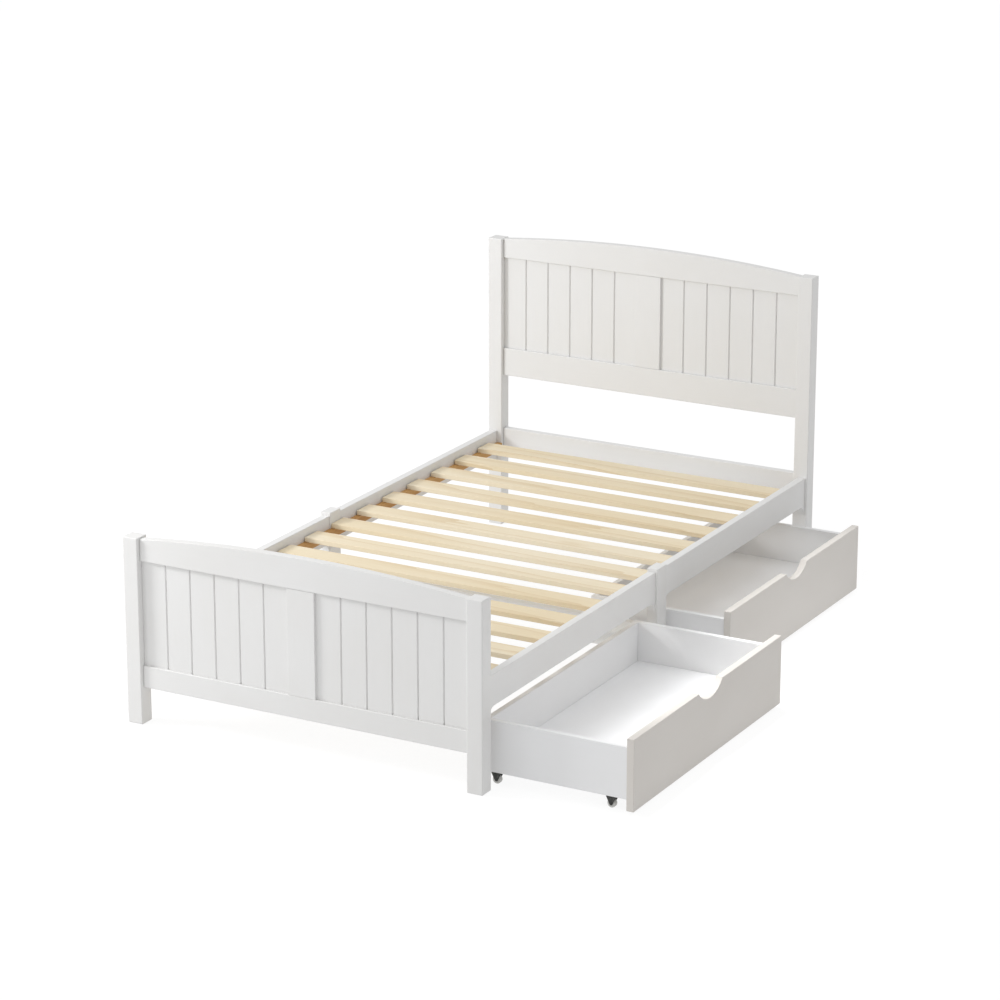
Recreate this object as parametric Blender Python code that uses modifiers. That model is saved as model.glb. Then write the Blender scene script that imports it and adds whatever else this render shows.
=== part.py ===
"""Wooden bed frame with two rolling under-bed drawers, in metres, +Z up.

The origin is on the floor under the middle of the overall box, with the drawers
drawn out as they rest. +Y runs from the footboard to the headboard, and +X points
to the side where the drawers come out.
"""
import math

import bmesh
import bpy
from mathutils import Matrix, Vector

# Overall sizes
WIDTH = 1.060
LENGTH = 1.984
HEAD_POST_HEIGHT = 0.896
FOOT_POST_HEIGHT = 0.510

# Fits
GAP = 0.0003
PANEL_PLAY = 0.0006
PANEL_PLAY_AT_EDGE = 0.001
SAME_PLACE = 0.00001
SAME_LEVEL = 0.000001
ROUNDED_ANGLE = 60
EDGE_ROUND = 0.0015
DRAWER_EDGE_ROUND = 0.001
ROUND_SEGMENTS = 2

# End boards: posts, rails and grooved panels
POST = 0.045
POST_EDGE_ROUND = 0.0025
BOARD_THICKNESS = 0.022
BOARD_RECESS = 0.0105
ARCH_RISE = 0.0255
ARCH_STEPS = 28
HEAD_BOTTOM_RAIL = (0.473, 0.558)
HEAD_TOP_RAIL_SHOULDER = 0.058
HEAD_ARCH_DROP = 0.001
HEAD_END_RAIL_RISE = 0.008
FOOT_BOTTOM_RAIL = (0.101, 0.1605)
FOOT_TOP_RAIL_SHOULDER = 0.063
FOOT_ARCH_DROP = 0.004
STILE_WIDTH = 0.080
STILE_RECESS = 0.001
PANEL_RECESS = 0.008
PANEL_THICKNESS = 0.009
PANEL_TONGUE = 0.007
PLANKS_A_SIDE = 6
V_WIDTH = 0.0045
V_DEPTH = 0.004

# Side frame
RAIL_SETBACK = 0.007
RAIL_THICKNESS = 0.022
RAIL_HEIGHT = 0.083
RAIL_TOP = 0.298
BRACKET_RADIUS = 0.028
BRACKET_LAND = 0.0015
BRACKET_STEPS = 8
LEG_THICKNESS = 0.032
LEG_WIDTH = 0.055
LEG_RISE = 0.009
STRETCHER_TOP = 0.138
STRETCHER_HEIGHT = 0.040
STRETCHER_THICKNESS = 0.020

# Slats and the ledgers that carry them
LEDGER_WIDTH = 0.018
LEDGER_HEIGHT = 0.022
SLAT_COUNT = 13
SLAT_WIDTH = 0.068
SLAT_THICKNESS = 0.014
SLAT_SINK = 0.022
SLAT_HEAD_GAP = 0.060
SLAT_FOOT_GAP = 0.078
SLAT_END_PLAY = 0.001
SLAT_EDGE_ROUND = 0.0015

# Drawers. The closed drawer's face is flush with the side rail's outer face.
BAY_PLAY = 0.0615
DRAWER_DEPTH = 0.425
DRAWER_OUT = {"foot_drawer": 0.3926, "head_drawer": 0.196}
DRAWER_END_GAP = {"foot_drawer": 0.020, "head_drawer": 0.006}
FACE_BOTTOM = 0.010
FACE_UNDER_RAIL = 0.015
FACE_THICKNESS = 0.020
FACE_OVERHANG = 0.008
NOTCH_WIDTH = 0.139
NOTCH_DEPTH = 0.031
NOTCH_STEPS = 20
SIDE_BELOW_FACE_TOP = 0.026
SIDE_THICKNESS = 0.015
DRAWER_FLOOR_THICKNESS = 0.006
BATTEN_WIDTH = 0.030
BATTEN_HEIGHT = 0.022
CASTER_INSET = 0.022
FRONT_CASTER_BEHIND_FACE = 0.073
BACK_CASTER_FROM_BACK = 0.030

# Casters
WHEEL_RADIUS = 0.0115
WHEEL_WIDTH = 0.012
WHEEL_ROUND = 0.002
WHEEL_ROUND_STEPS = 3
WHEEL_STEPS = 24
WHEEL_SHARP_ANGLE = 40
CASTER_HEIGHT = 0.0362
PLATE_LENGTH = 0.036
PLATE_WIDTH = 0.028
PLATE_THICKNESS = 0.002
CHEEK_THICKNESS = 0.0016
CHEEK_TOP_WIDTH = 0.033
CHEEK_END_RADIUS = 0.0045
CHEEK_END_FROM = 200
CHEEK_END_TO = 340
CHEEK_END_STEPS = 8
CHEEK_PLAY = 0.0008
PIN_RADIUS = 0.0025
PIN_PLAY = 0.0004
PIN_HEAD = 0.001
PIN_SEGMENTS = 16

# Places worked out from the sizes above
RAIL_OUTER = WIDTH / 2 - RAIL_SETBACK
RAIL_INNER = RAIL_OUTER - RAIL_THICKNESS
RAIL_BOTTOM = RAIL_TOP - RAIL_HEIGHT
LEG_INNER = WIDTH / 2 - LEG_THICKNESS
LEG_HALF = LEG_WIDTH / 2
FOOT_FACE = -LENGTH / 2
HEAD_FACE = LENGTH / 2 - POST
FOOT_POST_REAR = FOOT_FACE + POST
DRAWER_LENGTH = HEAD_FACE - LEG_HALF - BAY_PLAY
SLAT_TOP = RAIL_TOP - SLAT_SINK
LEDGER_TOP = SLAT_TOP - SLAT_THICKNESS - GAP
FACE_TOP = RAIL_BOTTOM - FACE_UNDER_RAIL
SIDE_BOTTOM = CASTER_HEIGHT + GAP
SIDE_TOP = FACE_TOP - SIDE_BELOW_FACE_TOP
REACH = max(DRAWER_OUT.values()) - RAIL_SETBACK
BED_X = -max(REACH, 0.0) / 2

OUTLINE_PLANES = {
    "XY": Matrix.Identity(4),
    "XZ": Matrix(((1, 0, 0, 0), (0, 0, -1, 0), (0, 1, 0, 0), (0, 0, 0, 1))),
    "YZ": Matrix(((0, 0, 1, 0), (1, 0, 0, 0), (0, 1, 0, 0), (0, 0, 0, 1))),
}


def clear_scene():
    for old in list(bpy.data.objects):
        bpy.data.objects.remove(old)


def new_collection(name):
    made = bpy.data.collections.new(name)
    bpy.context.scene.collection.children.link(made)
    return made


def make_material(name, color, roughness, metallic=0.0):
    material = bpy.data.materials.new(name)
    material.use_nodes = True
    shader = material.node_tree.nodes["Principled BSDF"]
    shader.inputs["Base Color"].default_value = (*color, 1.0)
    shader.inputs["Roughness"].default_value = roughness
    shader.inputs["Metallic"].default_value = metallic
    return material


def add_object(name, mesh, place=(0, 0, 0), material=None, parent=None):
    """Puts a mesh in the bed's collection at a place given in world coordinates."""
    made = bpy.data.objects.new(name, mesh)
    made.location = place
    if parent is not None:
        made.parent = parent
        made.location = Vector(place) - parent.location
    if material is not None and not mesh.materials:
        mesh.materials.append(material)
    BED.objects.link(made)
    return made


def add_cutter(name, mesh, place=(0, 0, 0)):
    made = bpy.data.objects.new(name, mesh)
    made.location = place
    made.hide_render = True
    made.display_type = "WIRE"
    CUTTERS.objects.link(made)
    return made


def box_mesh(name, size):
    mesh = bpy.data.meshes.new(name)
    shape = bmesh.new()
    bmesh.ops.create_cube(shape, size=1.0, matrix=Matrix.Diagonal((*size, 1.0)))
    shape.to_mesh(mesh)
    shape.free()
    return mesh


def centre_and_size(low, high):
    low, high = Vector(low), Vector(high)
    return (low + high) / 2, high - low


def board(name, low, high, material, parent=None):
    """A plain board between two opposite corners."""
    centre, size = centre_and_size(low, high)
    return add_object(name, box_mesh(name, size), centre, material, parent)


def box_cutter(name, low, high):
    centre, size = centre_and_size(low, high)
    return add_cutter(name, box_mesh(name, size), centre)


def outline_mesh(name, points, thickness, plane):
    """A flat outline, extruded to both sides of its plane and turned into a mesh."""
    curve = bpy.data.curves.new(name, "CURVE")
    curve.dimensions = "2D"
    curve.fill_mode = "BOTH"
    curve.extrude = thickness / 2
    spline = curve.splines.new("POLY")
    spline.points.add(len(points) - 1)
    for spot, (u, v) in zip(spline.points, points):
        spot.co = (u, v, 0.0, 1.0)
    spline.use_cyclic_u = True
    guide = add_cutter(name + "_outline", curve)
    bpy.context.view_layer.update()
    seen = guide.evaluated_get(bpy.context.evaluated_depsgraph_get())
    mesh = bpy.data.meshes.new_from_object(seen)
    bpy.data.objects.remove(guide)
    shape = bmesh.new()
    shape.from_mesh(mesh)
    bmesh.ops.remove_doubles(shape, verts=shape.verts, dist=SAME_PLACE)
    for level in (-thickness / 2, thickness / 2):
        cap = [f for f in shape.faces if all(abs(v.co.z - level) < SAME_LEVEL for v in f.verts)]
        bmesh.ops.dissolve_faces(shape, faces=cap)
    bmesh.ops.transform(shape, matrix=OUTLINE_PLANES[plane], verts=shape.verts)
    bmesh.ops.recalc_face_normals(shape, faces=shape.faces)
    shape.to_mesh(mesh)
    shape.free()
    mesh.name = name
    return mesh


def combine(target, other, operation):
    step = target.modifiers.new(operation.lower() + "_" + other.name, "BOOLEAN")
    step.operation = operation
    step.solver = "EXACT"
    step.object = other


def soften(target, width=EDGE_ROUND):
    step = target.modifiers.new("edges", "BEVEL")
    step.width = width
    step.segments = ROUND_SEGMENTS
    step.limit_method = "ANGLE"
    step.angle_limit = math.radians(ROUNDED_ANGLE)
    return target


def evaluated_mesh(target):
    """The mesh of an object with its modifiers applied. The object is removed."""
    bpy.context.view_layer.update()
    seen = target.evaluated_get(bpy.context.evaluated_depsgraph_get())
    mesh = bpy.data.meshes.new_from_object(seen)
    bpy.data.objects.remove(target)
    return mesh


def arc(centre, radius, start, end, steps):
    """Points along an arc, with its angles in degrees."""
    turns = [math.radians(start + (end - start) * i / steps) for i in range(steps + 1)]
    return [(centre[0] + radius * math.cos(t), centre[1] + radius * math.sin(t)) for t in turns]


def segment_radius(chord, rise):
    return (chord * chord / 4 + rise * rise) / (2 * rise)


def shallow_arc(middle, edge, chord, rise, steps):
    """Points from right to left of a shallow arc that stands by rise above (or below) its edge."""
    radius = segment_radius(chord, abs(rise))
    half = math.degrees(math.asin(chord / 2 / radius))
    if rise > 0:
        return arc((middle, edge + rise - radius), radius, 90 - half, 90 + half, steps)
    return arc((middle, edge + rise + radius), radius, 270 + half, 270 - half, steps)


# End boards


def make_post(name, side, face_y, height, panel_y, panel_z):
    """A square post, with the groove that holds the panel's edge."""
    inner = BED_X + side * (WIDTH / 2 - POST)
    outer = BED_X + side * WIDTH / 2
    low = (min(inner, outer), face_y, 0.0)
    high = (max(inner, outer), face_y + POST, height)
    post = board(name, low, high, WHITE_PAINT)
    groove_x = sorted((inner - side * POST, inner + side * (PANEL_TONGUE + PANEL_PLAY_AT_EDGE)))
    groove = box_cutter(
        name + "_groove",
        (groove_x[0], panel_y[0] - PANEL_PLAY / 2, panel_z[0] - PANEL_PLAY_AT_EDGE),
        (groove_x[1], panel_y[1] + PANEL_PLAY / 2, panel_z[1] + PANEL_PLAY_AT_EDGE),
    )
    soften(post, POST_EDGE_ROUND)
    combine(post, groove, "DIFFERENCE")


def make_top_rail(name, face_y, edge, end_height, panel_y):
    """The arched rail: straight below, a shallow arc above."""
    half = WIDTH / 2 - POST - GAP
    points = [(-half, edge), (half, edge)]
    points += shallow_arc(0.0, end_height, 2 * half, ARCH_RISE, ARCH_STEPS)
    mesh = outline_mesh(name, points, BOARD_THICKNESS, "XZ")
    rail = add_object(name, mesh, (BED_X, face_y + BOARD_THICKNESS / 2, 0.0), WHITE_PAINT)
    groove = box_cutter(
        name + "_groove",
        (BED_X - WIDTH / 2, panel_y[0] - PANEL_PLAY / 2, edge - PANEL_TONGUE),
        (BED_X + WIDTH / 2, panel_y[1] + PANEL_PLAY / 2, edge + PANEL_TONGUE + PANEL_PLAY_AT_EDGE),
    )
    soften(rail)
    combine(rail, groove, "DIFFERENCE")


def make_cross_rail(name, face_y, bottom, top, panel_y=None):
    """A straight rail between the posts, grooved on top if a panel stands in it."""
    half = WIDTH / 2 - POST - GAP
    rail = board(
        name, (BED_X - half, face_y, bottom), (BED_X + half, face_y + BOARD_THICKNESS, top), WHITE_PAINT
    )
    soften(rail)
    if panel_y is not None:
        groove = box_cutter(
            name + "_groove",
            (BED_X - WIDTH / 2, panel_y[0] - PANEL_PLAY / 2, top - PANEL_TONGUE - PANEL_PLAY_AT_EDGE),
            (BED_X + WIDTH / 2, panel_y[1] + PANEL_PLAY / 2, top + PANEL_TONGUE),
        )
        combine(rail, groove, "DIFFERENCE")


def groove_places():
    """Where the V grooves run, from left to right, measured from the bed's middle."""
    run = WIDTH / 2 - POST - STILE_WIDTH / 2
    right = [STILE_WIDTH / 2 + run * i / PLANKS_A_SIDE for i in range(1, PLANKS_A_SIDE)]
    return [-x for x in reversed(right)] + right


def make_panel(name, face_y, panel_y, low_edge, high_edge):
    """The grooved panel with its glued-on centre stile."""
    half = WIDTH / 2 - POST + PANEL_TONGUE
    points = [(-half, 0.0)]
    for x in groove_places():
        points += [(x - V_WIDTH / 2, 0.0), (x, V_DEPTH), (x + V_WIDTH / 2, 0.0)]
    points += [(half, 0.0), (half, PANEL_THICKNESS), (-half, PANEL_THICKNESS)]
    height = high_edge - low_edge + 2 * PANEL_TONGUE
    mesh = outline_mesh(name, points, height, "XY")
    panel = add_object(name, mesh, (BED_X, panel_y[0], (low_edge + high_edge) / 2), WHITE_PAINT)
    stile = box_cutter(
        name + "_stile",
        (BED_X - STILE_WIDTH / 2, face_y + STILE_RECESS, low_edge + GAP),
        (BED_X + STILE_WIDTH / 2, sum(panel_y) / 2, high_edge - GAP),
    )
    combine(panel, stile, "UNION")


def make_end_board(name, post_face, post_height, bottom_rail, shoulder, arch_drop):
    """One end of the bed. The top rail's lower edge is a shoulder's height below the post tops."""
    top_rail_edge = post_height - shoulder
    face_y = post_face + BOARD_RECESS
    panel_front = face_y + PANEL_RECESS
    panel_y = (panel_front, panel_front + PANEL_THICKNESS)
    panel_z = (bottom_rail[1] - PANEL_TONGUE, top_rail_edge + PANEL_TONGUE)
    for side, word in ((-1, "left"), (1, "right")):
        make_post(f"{name}_post_{word}", side, post_face, post_height, panel_y, panel_z)
    make_top_rail(f"{name}_top_rail", face_y, top_rail_edge, post_height - arch_drop, panel_y)
    make_cross_rail(f"{name}_bottom_rail", face_y, *bottom_rail, panel_y)
    make_panel(f"{name}_panel", face_y, panel_y, bottom_rail[1], top_rail_edge)


# Side frame


def make_side_rail(name, side, start, end):
    """Half of a side rail, with a concave bracket below each end."""
    start, end = start + GAP, end - GAP
    drop = RAIL_BOTTOM - BRACKET_RADIUS
    points = [(start, drop), (start + BRACKET_LAND, drop)]
    points += arc((start + BRACKET_LAND + BRACKET_RADIUS, drop), BRACKET_RADIUS, 180, 90, BRACKET_STEPS)[1:]
    points += arc((end - BRACKET_LAND - BRACKET_RADIUS, drop), BRACKET_RADIUS, 90, 0, BRACKET_STEPS)
    points += [(end, drop), (end, RAIL_TOP), (start, RAIL_TOP)]
    mesh = outline_mesh(name, points, RAIL_THICKNESS, "YZ")
    middle = BED_X + side * (RAIL_OUTER + RAIL_INNER) / 2
    soften(add_object(name, mesh, (middle, 0.0, 0.0), WHITE_PAINT))


def make_side_frame(side, word):
    make_side_rail(f"side_rail_{word}_foot", side, FOOT_POST_REAR, -LEG_HALF)
    make_side_rail(f"side_rail_{word}_head", side, LEG_HALF, HEAD_FACE)
    leg_x = sorted((BED_X + side * LEG_INNER, BED_X + side * WIDTH / 2))
    leg = board(
        f"middle_leg_{word}", (leg_x[0], -LEG_HALF, 0.0), (leg_x[1], LEG_HALF, RAIL_TOP + LEG_RISE), WHITE_PAINT
    )
    soften(leg)
    ledger_x = sorted((BED_X + side * (RAIL_INNER - LEDGER_WIDTH - GAP), BED_X + side * (RAIL_INNER - GAP)))
    ledger = board(
        f"slat_ledger_{word}",
        (ledger_x[0], FOOT_POST_REAR + GAP, LEDGER_TOP - LEDGER_HEIGHT),
        (ledger_x[1], HEAD_FACE - GAP, LEDGER_TOP),
        PINE,
    )
    notch_x = sorted((BED_X + side * (LEG_INNER - GAP), BED_X + side * WIDTH / 2))
    notch = box_cutter(
        f"slat_ledger_{word}_notch",
        (notch_x[0], -LEG_HALF - GAP, LEDGER_TOP - 2 * LEDGER_HEIGHT),
        (notch_x[1], LEG_HALF + GAP, LEDGER_TOP + LEDGER_HEIGHT),
    )
    soften(ledger, DRAWER_EDGE_ROUND)
    combine(ledger, notch, "DIFFERENCE")


def make_stretcher():
    half = LEG_INNER - GAP
    stretcher = board(
        "cross_stretcher",
        (BED_X - half, -STRETCHER_THICKNESS / 2, STRETCHER_TOP - STRETCHER_HEIGHT),
        (BED_X + half, STRETCHER_THICKNESS / 2, STRETCHER_TOP),
        WHITE_PAINT,
    )
    soften(stretcher)


def make_slats():
    half = min(LEG_INNER, RAIL_INNER) - SLAT_END_PLAY
    first = FOOT_POST_REAR + SLAT_FOOT_GAP
    last = HEAD_FACE - SLAT_HEAD_GAP - SLAT_WIDTH
    pitch = (last - first) / (SLAT_COUNT - 1)
    for i in range(SLAT_COUNT):
        y = first + pitch * i
        slat = board(
            f"slat_{i + 1:02d}",
            (BED_X - half, y, SLAT_TOP - SLAT_THICKNESS),
            (BED_X + half, y + SLAT_WIDTH, SLAT_TOP),
            PINE,
        )
        soften(slat, SLAT_EDGE_ROUND)


# Drawers and casters


def make_wheel_mesh():
    """A turned wheel around the Y axis, with a bore for the pin."""
    half, inner = WHEEL_WIDTH / 2, PIN_RADIUS + PIN_PLAY
    top = arc((WHEEL_RADIUS - WHEEL_ROUND, half - WHEEL_ROUND), WHEEL_ROUND, 90, 0, WHEEL_ROUND_STEPS)
    bottom = [(r, -z) for r, z in reversed(top)]
    profile = top + bottom + [(inner, -half), (inner, half)]
    mesh = bpy.data.meshes.new("wheel_profile")
    edges = [(i, (i + 1) % len(profile)) for i in range(len(profile))]
    mesh.from_pydata([(r, 0.0, z) for r, z in profile], edges, [])
    turned = add_object("wheel_profile", mesh)
    screw = turned.modifiers.new("turn", "SCREW")
    screw.axis = "Z"
    screw.steps = WHEEL_STEPS
    screw.render_steps = WHEEL_STEPS
    screw.use_merge_vertices = True
    screw.merge_threshold = SAME_PLACE
    wheel = evaluated_mesh(turned)
    wheel.transform(Matrix.Rotation(math.radians(90), 4, "X"))
    wheel.shade_smooth()
    wheel.set_sharp_from_angle(angle=math.radians(WHEEL_SHARP_ANGLE))
    wheel.name = "caster_wheel"
    wheel.materials.append(WHEEL_GREY)
    return wheel


def make_bracket_mesh():
    """Plate, two cheeks and the riveted pin, as one pressed and riveted fork. Its origin is the pin's middle."""
    top = CASTER_HEIGHT - WHEEL_RADIUS
    under = top - PLATE_THICKNESS
    plate = add_object("bracket_plate", box_mesh("bracket_plate", (PLATE_LENGTH, PLATE_WIDTH, PLATE_THICKNESS)))
    plate.location.z = top - PLATE_THICKNESS / 2
    points = [(CHEEK_TOP_WIDTH / 2, top - PLATE_THICKNESS / 2), (-CHEEK_TOP_WIDTH / 2, top - PLATE_THICKNESS / 2)]
    points += arc((0.0, 0.0), CHEEK_END_RADIUS, CHEEK_END_FROM, CHEEK_END_TO, CHEEK_END_STEPS)
    offset = WHEEL_WIDTH / 2 + CHEEK_PLAY + CHEEK_THICKNESS / 2
    operands = []
    for side in (-1, 1):
        cheek = outline_mesh("bracket_cheek", points, CHEEK_THICKNESS, "XZ")
        operands.append(add_cutter("bracket_cheek", cheek, (0.0, side * offset, 0.0)))
    pin = bpy.data.meshes.new("bracket_pin")
    shape = bmesh.new()
    pin_length = 2 * (offset + CHEEK_THICKNESS / 2 + PIN_HEAD)
    bmesh.ops.create_cone(
        shape,
        cap_ends=True,
        segments=PIN_SEGMENTS,
        radius1=PIN_RADIUS,
        radius2=PIN_RADIUS,
        depth=pin_length,
        matrix=Matrix.Rotation(math.radians(90), 4, "X"),
    )
    shape.to_mesh(pin)
    shape.free()
    operands.append(add_cutter("bracket_pin", pin))
    for other in operands:
        combine(plate, other, "UNION")
    bpy.context.view_layer.update()
    seen = plate.evaluated_get(bpy.context.evaluated_depsgraph_get())
    bracket = bpy.data.meshes.new_from_object(seen)
    bracket.transform(Matrix.Translation((0.0, 0.0, top - PLATE_THICKNESS / 2)))
    for other in [plate, *operands]:
        bpy.data.objects.remove(other)
    bracket.name = "caster_bracket"
    bracket.materials.append(BRACKET_METAL)
    return bracket


def make_drawer_face(name, x, y, parent):
    """The front panel, with a round finger notch in the middle of its top edge."""
    half = DRAWER_LENGTH / 2
    points = [(-half, FACE_BOTTOM), (half, FACE_BOTTOM), (half, FACE_TOP)]
    points += shallow_arc(0.0, FACE_TOP, NOTCH_WIDTH, -NOTCH_DEPTH, NOTCH_STEPS)
    points += [(-half, FACE_TOP)]
    mesh = outline_mesh(name, points, FACE_THICKNESS, "YZ")
    soften(add_object(name, mesh, (x - FACE_THICKNESS / 2, y, 0.0), WHITE_PAINT, parent), DRAWER_EDGE_ROUND)


def make_drawer_side(name, side, face_back, back_x, y, parent):
    """A side board with the batten glued along its foot, which carries the bottom and the casters."""
    outer = y + side * (DRAWER_LENGTH / 2 - FACE_OVERHANG)
    inner = outer - side * SIDE_THICKNESS
    side_y = sorted((outer, inner))
    made = board(
        name, (back_x, side_y[0], SIDE_BOTTOM), (face_back - GAP, side_y[1], SIDE_TOP), WHITE_PAINT, parent
    )
    batten_y = sorted((inner + side * SIDE_THICKNESS / 2, inner - side * BATTEN_WIDTH))
    batten = box_cutter(
        name + "_batten",
        (back_x + SIDE_THICKNESS + GAP, batten_y[0], SIDE_BOTTOM),
        (face_back - GAP, batten_y[1], SIDE_BOTTOM + BATTEN_HEIGHT),
    )
    soften(made, DRAWER_EDGE_ROUND)
    combine(made, batten, "UNION")


def make_drawer(name, near_y, wheel_mesh, bracket_mesh):
    """One drawer on four fixed casters, with its face drawn out by DRAWER_OUT from the rail."""
    face = BED_X + RAIL_OUTER + DRAWER_OUT[name]
    back = face - DRAWER_DEPTH
    y = near_y + DRAWER_END_GAP[name] + DRAWER_LENGTH / 2
    slide = bpy.data.objects.new(name + "_slide", None)
    slide.location = (face, y, 0.0)
    BED.objects.link(slide)
    make_drawer_face(name + "_front_panel", face, y, slide)
    face_back = face - FACE_THICKNESS
    for side, word in ((-1, "foot"), (1, "head")):
        make_drawer_side(f"{name}_side_{word}", side, face_back, back, y, slide)
    inner_half = DRAWER_LENGTH / 2 - FACE_OVERHANG - SIDE_THICKNESS - GAP
    soften(
        board(
            name + "_back_panel",
            (back, y - inner_half, SIDE_BOTTOM),
            (back + SIDE_THICKNESS, y + inner_half, SIDE_TOP),
            WHITE_PAINT,
            slide,
        ),
        DRAWER_EDGE_ROUND,
    )
    floor_bottom = SIDE_BOTTOM + BATTEN_HEIGHT + GAP
    board(
        name + "_bottom",
        (back + SIDE_THICKNESS + GAP, y - inner_half, floor_bottom),
        (face_back - GAP, y + inner_half, floor_bottom + DRAWER_FLOOR_THICKNESS),
        WHITE_BOARD,
        slide,
    )
    number = 0
    for x in (face - FRONT_CASTER_BEHIND_FACE, back + BACK_CASTER_FROM_BACK):
        for side in (-1, 1):
            number += 1
            caster_y = y + side * (DRAWER_LENGTH / 2 - FACE_OVERHANG - CASTER_INSET)
            axle = (x, caster_y, WHEEL_RADIUS)
            add_object(f"{name}_caster_bracket_{number}", bracket_mesh, axle, None, slide)
            add_object(f"{name}_caster_wheel_{number}", wheel_mesh, axle, None, slide)


def make_bed():
    make_end_board(
        "headboard", HEAD_FACE, HEAD_POST_HEIGHT, HEAD_BOTTOM_RAIL, HEAD_TOP_RAIL_SHOULDER, HEAD_ARCH_DROP
    )
    make_end_board(
        "footboard", FOOT_FACE, FOOT_POST_HEIGHT, FOOT_BOTTOM_RAIL, FOOT_TOP_RAIL_SHOULDER, FOOT_ARCH_DROP
    )
    make_cross_rail(
        "head_end_rail",
        HEAD_FACE + BOARD_RECESS,
        RAIL_BOTTOM + HEAD_END_RAIL_RISE,
        RAIL_TOP + HEAD_END_RAIL_RISE,
    )
    for side, word in ((-1, "left"), (1, "right")):
        make_side_frame(side, word)
    make_stretcher()
    make_slats()
    wheel_mesh = make_wheel_mesh()
    bracket_mesh = make_bracket_mesh()
    make_drawer("foot_drawer", FOOT_POST_REAR, wheel_mesh, bracket_mesh)
    make_drawer("head_drawer", LEG_HALF, wheel_mesh, bracket_mesh)


clear_scene()
BED = new_collection("wooden_bed_frame")
CUTTERS = new_collection("cutters")
WHITE_PAINT = make_material("white_paint", (0.80, 0.79, 0.78), 0.42)
WHITE_BOARD = make_material("white_board", (0.78, 0.77, 0.76), 0.50)
PINE = make_material("pine", (0.75, 0.60, 0.38), 0.60)
WHEEL_GREY = make_material("wheel_grey", (0.50, 0.50, 0.48), 0.50)
BRACKET_METAL = make_material("bracket_metal", (0.10, 0.10, 0.09), 0.45, 0.6)
make_bed()
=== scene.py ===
import math

import bpy
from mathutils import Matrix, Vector

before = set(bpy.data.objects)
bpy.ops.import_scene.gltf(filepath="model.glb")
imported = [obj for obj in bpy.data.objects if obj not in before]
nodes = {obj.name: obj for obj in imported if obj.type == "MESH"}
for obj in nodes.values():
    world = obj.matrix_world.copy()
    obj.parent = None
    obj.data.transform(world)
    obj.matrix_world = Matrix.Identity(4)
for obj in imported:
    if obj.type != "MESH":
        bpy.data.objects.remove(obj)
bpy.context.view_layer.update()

print("frame loaded,", len(nodes), "pieces")


# helpers for materials

def startMaterial(name):
    mat = bpy.data.materials.new(name)
    mat.use_nodes = True
    return mat, mat.node_tree, mat.node_tree.nodes["Principled BSDF"]


def addNode(tree, kind, inputs=None, **settings):
    node = tree.nodes.new(kind)
    for key, value in settings.items():
        setattr(node, key, value)
    for key, value in (inputs or {}).items():
        node.inputs[key].default_value = value
    return node


def link(tree, source, target):
    tree.links.new(source, target)


def grainSpace(tree, axis, stretch):
    # object coordinates, squeezed along the grain so that every pattern runs long that way
    coord = addNode(tree, "ShaderNodeTexCoord")
    scale = [1.0, 1.0, 1.0]
    scale["XYZ".index(axis)] = stretch
    mapping = addNode(tree, "ShaderNodeMapping", {"Scale": scale})
    link(tree, coord.outputs["Object"], mapping.inputs["Vector"])
    return mapping.outputs["Vector"]


def noise(tree, vector, scale, detail=2.0, rough=0.5):
    node = addNode(tree, "ShaderNodeTexNoise", {"Scale": scale, "Detail": detail, "Roughness": rough})
    link(tree, vector, node.inputs["Vector"])
    return node.outputs["Fac"]


def remap(tree, value, low, high, toLow=0.0, toHigh=1.0):
    node = addNode(
        tree, "ShaderNodeMapRange", {"From Min": low, "From Max": high, "To Min": toLow, "To Max": toHigh}
    )
    link(tree, value, node.inputs["Value"])
    return node.outputs["Result"]


def mixColor(tree, amount, first, second, blend="MIX"):
    node = addNode(tree, "ShaderNodeMix", data_type="RGBA", blend_type=blend)
    for socket, value in ((node.inputs[6], first), (node.inputs[7], second)):
        if isinstance(value, tuple):
            socket.default_value = (*value, 1.0)
        else:
            link(tree, value, socket)
    if isinstance(amount, float):
        node.inputs[0].default_value = amount
    else:
        link(tree, amount, node.inputs[0])
    return node.outputs[2]


def mathNode(tree, operation, first, second):
    node = addNode(tree, "ShaderNodeMath", operation=operation)
    for socket, value in zip(node.inputs, (first, second)):
        if isinstance(value, float):
            socket.default_value = value
        else:
            link(tree, value, socket)
    return node.outputs[0]


def roundedNormal(tree, radius):
    node = addNode(tree, "ShaderNodeBevel", {"Radius": radius}, samples=4)
    return node.outputs["Normal"]


def edgeMask(tree, softNormal, low, high):
    # 0 on flat faces, 1 where the rounded normal leaves the face's own
    geometry = addNode(tree, "ShaderNodeNewGeometry")
    dot = addNode(tree, "ShaderNodeVectorMath", operation="DOT_PRODUCT")
    link(tree, softNormal, dot.inputs[0])
    link(tree, geometry.outputs["True Normal"], dot.inputs[1])
    return remap(tree, dot.outputs["Value"], high, low)


def bump(tree, height, normal, strength, distance):
    node = addNode(tree, "ShaderNodeBump", {"Strength": strength, "Distance": distance})
    link(tree, height, node.inputs["Height"])
    link(tree, normal, node.inputs["Normal"])
    return node.outputs["Normal"]


# white satin paint on planed wood

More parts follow.
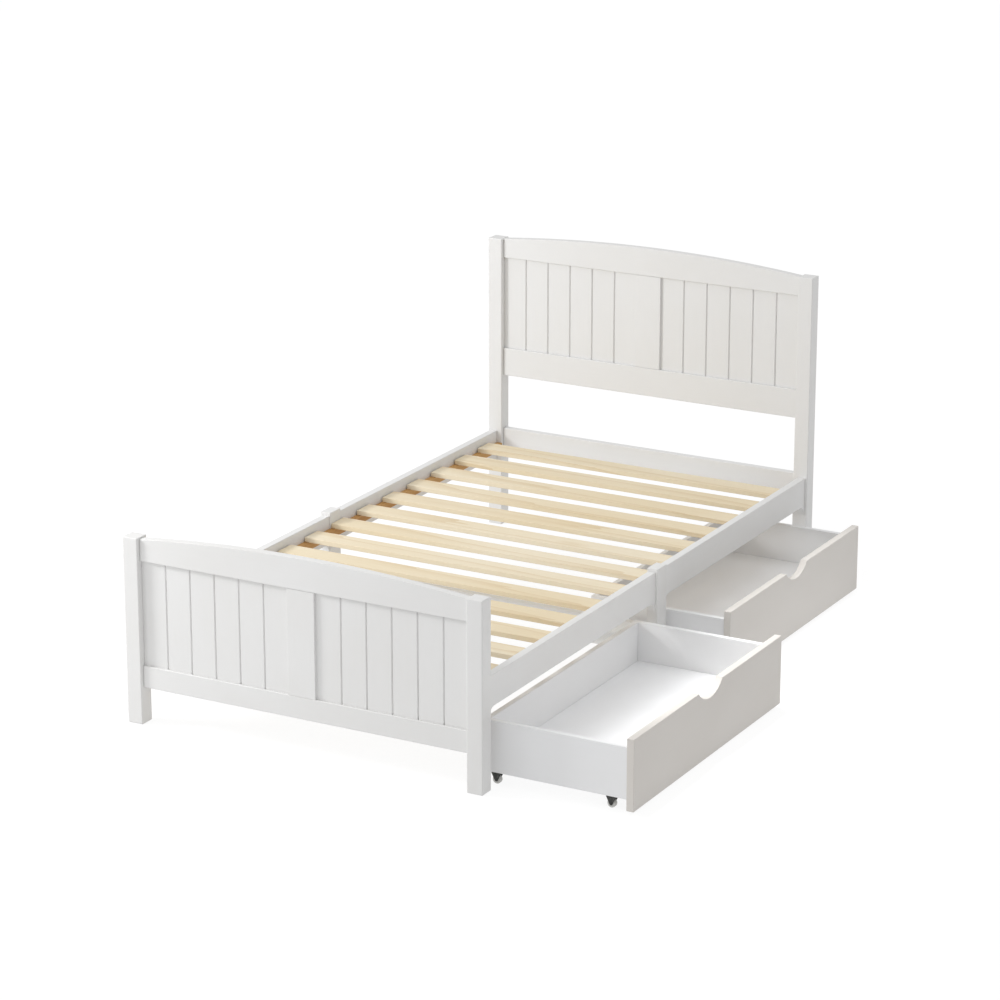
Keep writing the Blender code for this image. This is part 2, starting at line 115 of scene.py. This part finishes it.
paintLook = {
    "color": (0.808, 0.806, 0.800),
    "shade": (0.772, 0.764, 0.748),     # thin and handled patches
    "worn": (0.70, 0.665, 0.60),        # primer and wood that show through at an edge
    "roughness": (0.36, 0.50),
    "specular": 0.42,
    "coat": 0.06,
    "coatRoughness": 0.30,
    "edgeRadius": 0.0022,
    "grainStretch": 0.055,
    "grainScale": 210.0,
    "grainRange": (0.52, 0.80),
    "grainTint": 0.30,
    "grainBump": 0.35,
    "grainDepth": 0.00012,
    "patchStretch": 0.6,
    "patchScale": 5.0,
    "patchRange": (0.40, 0.72),
    "patchTint": 0.55,
    "stippleScale": 620.0,              # roller texture
    "stippleBump": 0.30,
    "stippleDepth": 0.00003,
    "chipScale": 95.0,
    "chipRange": (0.56, 0.70),
    "wearRange": (0.80, 0.985),         # how far a normal has to turn before an edge counts
    "wearAmount": 0.55,
}


def paintMaterial(name, look, axis):
    mat, tree, shader = startMaterial(name)
    along = grainSpace(tree, axis, look["grainStretch"])
    around = grainSpace(tree, axis, look["patchStretch"])
    soft = roundedNormal(tree, look["edgeRadius"])

    grain = noise(tree, along, look["grainScale"], 4.0, 0.62)     # shows faintly through the paint
    patches = noise(tree, around, look["patchScale"], 3.0, 0.55)
    stipple = noise(tree, around, look["stippleScale"], 2.0, 0.6)
    chips = noise(tree, around, look["chipScale"], 4.0, 0.7)

    thin = remap(tree, patches, *look["patchRange"], 0.0, look["patchTint"])
    color = mixColor(tree, thin, look["color"], look["shade"])
    streak = remap(tree, grain, *look["grainRange"], 0.0, look["grainTint"])
    color = mixColor(tree, streak, color, look["shade"])
    chipped = remap(tree, chips, *look["chipRange"])
    wear = mathNode(tree, "MULTIPLY", edgeMask(tree, soft, *look["wearRange"]), chipped)
    wear = mathNode(tree, "MULTIPLY", wear, look["wearAmount"])
    color = mixColor(tree, wear, color, look["worn"])
    link(tree, color, shader.inputs["Base Color"])

    link(tree, remap(tree, patches, 0.3, 0.7, *look["roughness"]), shader.inputs["Roughness"])
    normal = bump(tree, grain, soft, look["grainBump"], look["grainDepth"])
    normal = bump(tree, stipple, normal, look["stippleBump"], look["stippleDepth"])
    link(tree, normal, shader.inputs["Normal"])
    shader.inputs["Specular IOR Level"].default_value = look["specular"]
    shader.inputs["Coat Weight"].default_value = look["coat"]
    shader.inputs["Coat Roughness"].default_value = look["coatRoughness"]
    return mat


# bare planed pine

slatPine = {
    "early": (0.835, 0.745, 0.575),     # pale spring growth
    "late": (0.640, 0.480, 0.270),      # darker summer lines
    "warm": (0.790, 0.675, 0.475),
    "knot": (0.235, 0.115, 0.045),
    "roughness": (0.52, 0.70),
    "specular": 0.34,
    "edgeRadius": 0.0018,
    "ringStretch": 0.05,
    "ringScale": 9.0,
    "ringBend": 7.5,
    "ringSharpness": 2.2,
    "ringTint": 0.50,
    "ringBump": 0.22,
    "ringDepth": 0.00025,
    "fibreScale": 520.0,
    "fibreTint": 0.30,
    "fibreBump": 0.30,
    "fibreDepth": 0.00012,
    "toneStretch": 0.28,
    "toneScale": 5.5,
    "toneRange": (0.36, 0.66),
    "knotScale": 9.0,
    "knotShare": 0.20,                  # part of the cells that carry a knot
    "knotCore": (0.085, 0.045),         # outer and inner radius of the fade, in cells
    "knotHalo": (0.20, 0.07),
    "haloTint": 0.5,
}
# the ledger: a redder pine than the slats, and darker, the darkness a painted shade for the narrow gaps
# between slats
ledgerPineWithShade = dict(slatPine, early=(0.58, 0.33, 0.12), late=(0.40, 0.18, 0.05), warm=(0.50, 0.26, 0.08))


def pineMaterial(name, look, axis):
    mat, tree, shader = startMaterial(name)
    along = grainSpace(tree, axis, look["ringStretch"])
    wide = grainSpace(tree, axis, look["toneStretch"])
    soft = roundedNormal(tree, look["edgeRadius"])

    rings = addNode(
        tree,
        "ShaderNodeTexWave",
        {
            "Scale": look["ringScale"],
            "Distortion": look["ringBend"],
            "Detail": 2.5,
            "Detail Scale": 1.3,
            "Detail Roughness": 0.55,
        },
        wave_type="BANDS",
        bands_direction="DIAGONAL",
        wave_profile="SAW",
    )
    link(tree, along, rings.inputs["Vector"])
    late = remap(tree, rings.outputs["Fac"], 0.55, 1.0)
    late = mathNode(tree, "POWER", late, look["ringSharpness"])
    fibre = noise(tree, along, look["fibreScale"], 3.0, 0.6)
    tone = noise(tree, wide, look["toneScale"], 1.0, 0.4)     # one slat is a little warmer than the next

    color = mixColor(tree, remap(tree, tone, *look["toneRange"]), look["early"], look["warm"])
    color = mixColor(tree, mathNode(tree, "MULTIPLY", late, look["ringTint"]), color, look["late"])
    lines = remap(tree, fibre, 0.50, 0.85, 0.0, look["fibreTint"])
    color = mixColor(tree, lines, color, look["late"])

    spots = addNode(tree, "ShaderNodeTexVoronoi", {"Scale": look["knotScale"], "Randomness": 1.0})
    link(tree, wide, spots.inputs["Vector"])
    distance = spots.outputs["Distance"]
    picked = addNode(tree, "ShaderNodeSeparateColor")
    link(tree, spots.outputs["Color"], picked.inputs["Color"])
    chosen = mathNode(tree, "GREATER_THAN", picked.outputs["Red"], 1.0 - look["knotShare"])
    core = mathNode(tree, "MULTIPLY", remap(tree, distance, *look["knotCore"]), chosen)
    ring = remap(tree, distance, *look["knotHalo"], 0.0, look["haloTint"])
    halo = mathNode(tree, "MULTIPLY", ring, chosen)
    color = mixColor(tree, halo, color, look["late"])
    color = mixColor(tree, core, color, look["knot"])
    link(tree, color, shader.inputs["Base Color"])

    link(tree, remap(tree, fibre, 0.3, 0.7, *look["roughness"]), shader.inputs["Roughness"])
    normal = bump(tree, late, soft, look["ringBump"], look["ringDepth"])
    normal = bump(tree, fibre, normal, look["fibreBump"], look["fibreDepth"])
    link(tree, normal, shader.inputs["Normal"])
    shader.inputs["Specular IOR Level"].default_value = look["specular"]
    return mat


# white-faced board for the drawer bottoms

litBoardLook = {
    # a white board, made brighter and cooler than its own colour as painted fill light for the shaded
    # drawer bottoms
    "color": (0.885, 0.892, 0.904),
    "speck": (0.825, 0.828, 0.834),
    "roughness": (0.40, 0.52),
    "edgeRadius": 0.0008,
    "stretch": 0.4,
    "speckScale": 380.0,
    "speckTint": 0.35,
    "speckBump": 0.25,
    "speckDepth": 0.00006,
    "patchScale": 7.0,
    "patchTint": 0.45,
}


def boardMaterial(name, look, axis):
    mat, tree, shader = startMaterial(name)
    space = grainSpace(tree, axis, look["stretch"])
    specks = noise(tree, space, look["speckScale"], 3.0, 0.65)
    patches = noise(tree, space, look["patchScale"], 3.0, 0.6)
    dull = remap(tree, patches, 0.42, 0.75, 0.0, look["patchTint"])
    color = mixColor(tree, dull, look["color"], look["speck"])
    dotted = remap(tree, specks, 0.62, 0.80, 0.0, look["speckTint"])
    color = mixColor(tree, dotted, color, look["speck"])
    link(tree, color, shader.inputs["Base Color"])
    link(tree, remap(tree, patches, 0.3, 0.7, *look["roughness"]), shader.inputs["Roughness"])
    soft = roundedNormal(tree, look["edgeRadius"])
    link(tree, bump(tree, specks, soft, look["speckBump"], look["speckDepth"]), shader.inputs["Normal"])
    return mat


# caster finishes

wheelLook = {
    "color": (0.640, 0.638, 0.615),
    "rubbed": (0.420, 0.405, 0.370),    # grime at the rim
    "roughness": (0.38, 0.62),
    "metallic": 0.0,
    "edgeRadius": 0.0008,
}
forkLook = {
    "color": (0.050, 0.051, 0.048),
    "rubbed": (0.160, 0.157, 0.148),    # steel that shows at worn edges
    "roughness": (0.34, 0.58),
    "metallic": 0.35,
    "edgeRadius": 0.0005,
}
casterGrain = {
    "blotchScale": 140.0,
    "blotchTint": 0.6,
    "fineScale": 1500.0,
    "fineBump": 0.30,
    "fineDepth": 0.00003,
    "rubRange": (0.78, 0.98),
    "rubAmount": 0.7,
}


def casterMaterial(name, look, grain):
    mat, tree, shader = startMaterial(name)
    space = grainSpace(tree, "Z", 1.0)
    blotch = noise(tree, space, grain["blotchScale"], 4.0, 0.65)
    fine = noise(tree, space, grain["fineScale"], 2.0, 0.6)
    soft = roundedNormal(tree, look["edgeRadius"])
    stained = remap(tree, blotch, 0.48, 0.72, 0.0, grain["blotchTint"])
    color = mixColor(tree, stained, look["color"], look["rubbed"])
    edges = edgeMask(tree, soft, *grain["rubRange"])
    rubbed = mathNode(tree, "MULTIPLY", edges, remap(tree, blotch, 0.40, 0.60))
    color = mixColor(tree, mathNode(tree, "MULTIPLY", rubbed, grain["rubAmount"]), color, look["rubbed"])
    link(tree, color, shader.inputs["Base Color"])
    link(tree, remap(tree, blotch, 0.3, 0.7, *look["roughness"]), shader.inputs["Roughness"])
    link(tree, bump(tree, fine, soft, grain["fineBump"], grain["fineDepth"]), shader.inputs["Normal"])
    shader.inputs["Metallic"].default_value = look["metallic"]
    return mat


# the drawer faces are a shade warmer and darker than the frame, the darkness a painted shade
# on these right-facing fronts; the other drawer boards a shade cooler
shadedFaceLook = dict(paintLook, color=(0.700, 0.668, 0.630), shade=(0.665, 0.632, 0.590))
# painted light: the drawer backs and sides get a brighter, cooler white than the frame, in place of the
# fill light they lack
litInsideLook = dict(paintLook, color=(0.862, 0.866, 0.874), shade=(0.825, 0.826, 0.828))
paint = {axis: paintMaterial("satinPaint" + axis, paintLook, axis) for axis in "XYZ"}
shadedFacePaint = paintMaterial("drawerFaceShadedPaint", shadedFaceLook, "Y")
litInsidePaint = {axis: paintMaterial("drawerLitPaint" + axis, litInsideLook, axis) for axis in "XY"}
slatWood = pineMaterial("slatPine", slatPine, "X")
ledgerWoodWithShade = pineMaterial("ledgerPineWithShade", ledgerPineWithShade, "Y")
board = boardMaterial("drawerBoardLit", litBoardLook, "Y")
wheelPlastic = casterMaterial("wheelPlastic", wheelLook, casterGrain)
forkCoat = casterMaterial("forkCoat", forkLook, casterGrain)
print("materials ready")


# each CAD piece takes the finish and the grain direction of its kind

finishes = [
    ("slat_ledger", ledgerWoodWithShade),
    ("slat_", slatWood),
    ("_caster_wheel_", wheelPlastic),
    ("_caster_bracket_", forkCoat),
    ("_drawer_bottom", board),
    ("_drawer_front_panel", shadedFacePaint),
    ("_drawer_back_panel", litInsidePaint["Y"]),
    ("_drawer_side_", litInsidePaint["X"]),
    ("_post_", paint["Z"]),
    ("board_panel", paint["Z"]),
    ("middle_leg", paint["Z"]),
    ("side_rail", paint["Y"]),
    ("rail", paint["X"]),
    ("cross_stretcher", paint["X"]),
]
for name, piece in nodes.items():
    finish = next(mat for word, mat in finishes if word in name)
    for slot in piece.material_slots:
        slot.material = finish
print("finishes set")


# the camera sees the plain shader, everything else is lit by the first one

def plainToCamera(tree, lit, plain, output):
    seen = addNode(tree, "ShaderNodeLightPath")
    pick = addNode(tree, "ShaderNodeMixShader")
    link(tree, seen.outputs["Is Camera Ray"], pick.inputs[0])
    link(tree, lit, pick.inputs[1])
    link(tree, plain, pick.inputs[2])
    link(tree, pick.outputs[0], output)


studioFloor = {
    "size": 60.0,
    "drop": 0.0012,           # below the feet and wheels
    "grey": 0.35,             # what the floor gives the object
    "glow": 0.48,
    "seenGrey": 0.18,         # what the camera gets of it
    "seenGlow": 0.86,
}


def makeFloor(f):
    mesh = bpy.data.meshes.new("studioFloor")
    half, z = f["size"] / 2, -f["drop"]
    corners = [(-half, -half, z), (half, -half, z), (half, half, z), (-half, half, z)]
    mesh.from_pydata(corners, [], [(0, 1, 2, 3)])
    floor = bpy.data.objects.new("studioFloor", mesh)
    bpy.context.scene.collection.objects.link(floor)
    mat, tree, shader = startMaterial("paleFloor")
    shader.inputs["Base Color"].default_value = (f["grey"], f["grey"], f["grey"], 1.0)
    shader.inputs["Roughness"].default_value = 0.9
    shader.inputs["Specular IOR Level"].default_value = 0.0
    shader.inputs["Emission Color"].default_value = (1.0, 1.0, 1.0, 1.0)
    shader.inputs["Emission Strength"].default_value = f["glow"]
    glow = addNode(tree, "ShaderNodeEmission", {"Strength": f["seenGlow"]})
    seenGrey = (f["seenGrey"], f["seenGrey"], f["seenGrey"], 1.0)
    grey = addNode(tree, "ShaderNodeBsdfDiffuse", {"Color": seenGrey})
    both = addNode(tree, "ShaderNodeAddShader")
    link(tree, glow.outputs[0], both.inputs[0])
    link(tree, grey.outputs[0], both.inputs[1])
    plainToCamera(tree, shader.outputs[0], both.outputs[0], tree.nodes["Material Output"].inputs["Surface"])
    mesh.materials.append(mat)


# strength at the horizon, overhead and as the camera sees it
studioSky = {"low": 0.30, "high": 1.08, "seen": 1.0}


def makeSky(k):
    world = bpy.data.worlds.new("studio")
    world.use_nodes = True
    tree = world.node_tree
    sky = tree.nodes["Background"]
    sky.inputs["Color"].default_value = (1.0, 1.0, 1.0, 1.0)
    coord = addNode(tree, "ShaderNodeTexCoord")
    height = addNode(tree, "ShaderNodeSeparateXYZ")
    link(tree, coord.outputs["Generated"], height.inputs[0])
    link(tree, remap(tree, height.outputs["Z"], 0.0, 1.0, k["low"], k["high"]), sky.inputs["Strength"])
    plain = addNode(tree, "ShaderNodeBackground", {"Color": (1.0, 1.0, 1.0, 1.0), "Strength": k["seen"]})
    plainToCamera(tree, sky.outputs[0], plain.outputs[0], tree.nodes["World Output"].inputs["Surface"])
    bpy.context.scene.world = world


studioLights = {
    "footLight": {
        "place": (-1.6, -2.6, 1.2),
        "aim": (-0.5, -1.0, 0.3),
        "length": 0.7,
        "width": 0.7,
        "spread": 180.0,
        "power": 4.2,
    },
    "headLight": {
        "place": (-2.9, -1.9, 1.9),
        "aim": (0.0, 0.96, 0.6),
        "length": 0.8,
        "width": 0.8,
        "spread": 180.0,
        "power": 63.0,
    },
    "drawerLight": {          # a long narrow strip above the right side rail
        "place": (0.50, 0.0, 1.25),
        "aim": (0.67, 0.0, 0.0),
        "length": 1.7,
        "width": 0.10,
        "spread": 24.0,
        "power": 1.1,
    },
}


def makeLights(lights):
    for name, one in lights.items():
        data = bpy.data.lights.new(name, "AREA")
        data.shape = "RECTANGLE"
        data.size = one["length"]
        data.size_y = one["width"]
        data.spread = math.radians(one["spread"])
        data.energy = one["power"]
        lamp = bpy.data.objects.new(name, data)
        back = Vector(one["place"]) - Vector(one["aim"])
        lamp.location = one["place"]
        lamp.rotation_euler = back.to_track_quat("Z", "Y").to_euler()
        lamp.visible_camera = False
        bpy.context.scene.collection.objects.link(lamp)


viewpoint = {
    "azimuth": 28.89,
    "elevation": 17.52,
    "distance": 9.7193,
    "aim": (-0.1606, 0.0, 0.4195),
    "lens": 127.75,
    "sensor": 36.0,
    "farClip": 200.0,
}


def makeCamera(v):
    a, e = math.radians(v["azimuth"]), math.radians(v["elevation"])
    back = Vector((math.sin(a) * math.cos(e), -math.cos(a) * math.cos(e), math.sin(e)))
    data = bpy.data.cameras.new("camera")
    data.lens = v["lens"]
    data.sensor_width = v["sensor"]
    data.clip_end = v["farClip"]
    camera = bpy.data.objects.new("camera", data)
    camera.location = Vector(v["aim"]) + back * v["distance"]
    camera.rotation_euler = back.to_track_quat("Z", "Y").to_euler()
    bpy.context.scene.collection.objects.link(camera)
    bpy.context.scene.camera = camera


makeFloor(studioFloor)
makeSky(studioSky)
makeLights(studioLights)
makeCamera(viewpoint)
bpy.context.scene.view_settings.view_transform = "Standard"
print("floor, light and camera ready")
